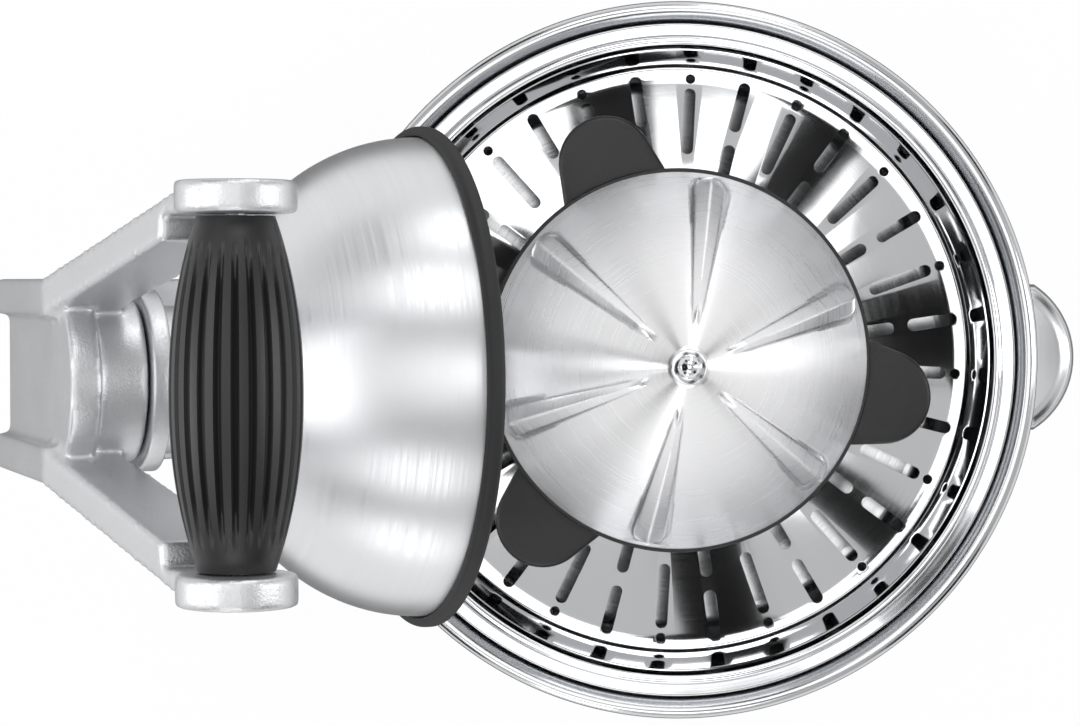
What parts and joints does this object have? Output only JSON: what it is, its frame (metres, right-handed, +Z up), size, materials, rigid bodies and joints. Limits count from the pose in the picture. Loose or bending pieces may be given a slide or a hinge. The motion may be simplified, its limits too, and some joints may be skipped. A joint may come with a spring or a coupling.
{
  "type": "citrus press juicer",
  "caption": "Lever-arm electric citrus press: fork arm with pressing dome over a ribbed reamer cone, slotted sieve, bowl with a tilting spout.",
  "frame": {"origin": "middle of the footprint at the underside of the feet", "axes": "+Z up, +X towards the spout, the lever hinge at -X"},
  "size_m": [0.2586, 0.1798, 0.4448],
  "materials": {
    "polished_steel": "mirror polished stainless steel",
    "brushed_steel": "circumferentially brushed stainless steel",
    "cast_aluminium": "satin blasted die-cast aluminium",
    "plain_steel": "plain machined steel",
    "bronze": "sintered bronze",
    "black_plastic": "fine grained moulded black plastic",
    "soft_grip": "ribbed soft-touch black plastic",
    "black_rubber": "matt black rubber",
    "white_nylon": "natural nylon"
  },
  "bodies": {
    "root": {"housing_shell": "brushed_steel", "rear_column": "cast_aluminium", "hinge_cap_left": "cast_aluminium", "hinge_cap_right": "cast_aluminium", "column_screw_1": "plain_steel", "column_screw_2": "plain_steel", "hinge_pin": "plain_steel", "lift_spring": "plain_steel", "motor_plate": "plain_steel", "gear_plate": "plain_steel", "frame_post_1": "plain_steel", "frame_post_2": "plain_steel", "frame_post_3": "plain_steel", "frame_spacer_1": "plain_steel", "frame_spacer_2": "plain_steel", "frame_spacer_3": "plain_steel", "motor_can": "plain_steel", "idler_pin": "plain_steel", "switch_bracket": "plain_steel", "lower_bush": "bronze", "upper_bush": "bronze", "base_plate": "black_plastic", "cord_gland": "black_plastic", "top_deck": "black_plastic", "motor_end_cap": "black_plastic", "switch_body": "black_plastic", "foot_1": "black_rubber", "foot_2": "black_rubber", "foot_3": "black_rubber", "foot_4": "black_rubber", "stop_bumper": "black_rubber", "shaft_seal": "black_rubber"},
    "arm": {"arm_casting": "cast_aluminium", "hub_collar": "cast_aluminium", "dome_shell": "brushed_steel", "dome_liner": "black_plastic", "dome_ring": "black_rubber", "dome_bolt": "plain_steel", "grip_sleeve": "soft_grip", "grip_rod": "plain_steel", "grip_screw_left": "plain_steel", "grip_screw_right": "plain_steel", "hinge_bush_left": "bronze", "hinge_bush_right": "bronze"},
    "rotor": {"rotor": "plain_steel"},
    "idler": {"idler_gear": "white_nylon"},
    "output_gear": {"output_gear": "white_nylon", "return_spring": "plain_steel"},
    "spindle": {"spindle": "plain_steel"},
    "plunger": {"switch_plunger": "white_nylon"},
    "cone": {"cone_base": "black_plastic", "cone_shell": "brushed_steel", "cone_rivet": "polished_steel"},
    "sieve": {"sieve": "polished_steel"},
    "bowl": {"bowl": "polished_steel", "spout_pin_left": "plain_steel", "spout_pin_right": "plain_steel"},
    "spout": {"spout": "polished_steel"}
  },
  "joints": [
    {"name": "arm_lift", "type": "hinge", "parent": "root", "child": "arm", "pos_m": [-0.08168, 0, 0.2464], "axis": [0, -1, 0], "range_deg": [-66, 0], "stiffness_Nm_per_rad": 0.5, "springref_deg": 57.3},
    {"name": "rotor_spin", "type": "hinge", "parent": "root", "child": "rotor", "pos_m": [-0.00378, -0.0265, 0.07], "axis": [0, 0, 1], "continuous": true},
    {"name": "idler_spin", "type": "hinge", "parent": "root", "child": "idler", "pos_m": [-0.02233, 0, 0.11], "axis": [0, 0, 1], "continuous": true},
    {"name": "gear_spin", "type": "hinge", "parent": "root", "child": "output_gear", "pos_m": [0.02332, 0, 0.115], "axis": [0, 0, 1], "continuous": true},
    {"name": "spindle_press", "type": "slide", "parent": "output_gear", "child": "spindle", "axis": [0, 0, 1], "range_m": [-0.0025, 0], "stiffness_N_per_m": 3000, "springref_m": 0.004, "deforming": ["return_spring"]},
    {"name": "plunger_slide", "type": "slide", "parent": "root", "child": "plunger", "axis": [0, 0, 1], "range_m": [-0.0025, 0]},
    {"name": "cone_lift", "type": "slide", "parent": "spindle", "child": "cone", "axis": [0, 0, 1], "range_m": [0, 0.09]},
    {"name": "sieve_lift", "type": "slide", "parent": "root", "child": "sieve", "axis": [0, 0, 1], "range_m": [0, 0.054]},
    {"name": "bowl_lift", "type": "slide", "parent": "root", "child": "bowl", "axis": [0, 0, 1], "range_m": [0, 0.027]},
    {"name": "spout_tilt", "type": "hinge", "parent": "bowl", "child": "spout", "pos_m": [0.11182, 0, 0.1814], "axis": [0, -1, 0], "range_deg": [0, 25]}
  ],
  "couplings": [
    {"joint": "idler_spin", "follows": "rotor_spin", "ratio": -0.27778},
    {"joint": "gear_spin", "follows": "rotor_spin", "ratio": 0.083333},
    {"joint": "plunger_slide", "follows": "spindle_press", "ratio": 1},
    {"joint": "sieve_lift", "follows": "cone_lift", "ratio": 0.6},
    {"joint": "bowl_lift", "follows": "cone_lift", "ratio": 0.3}
  ]
}
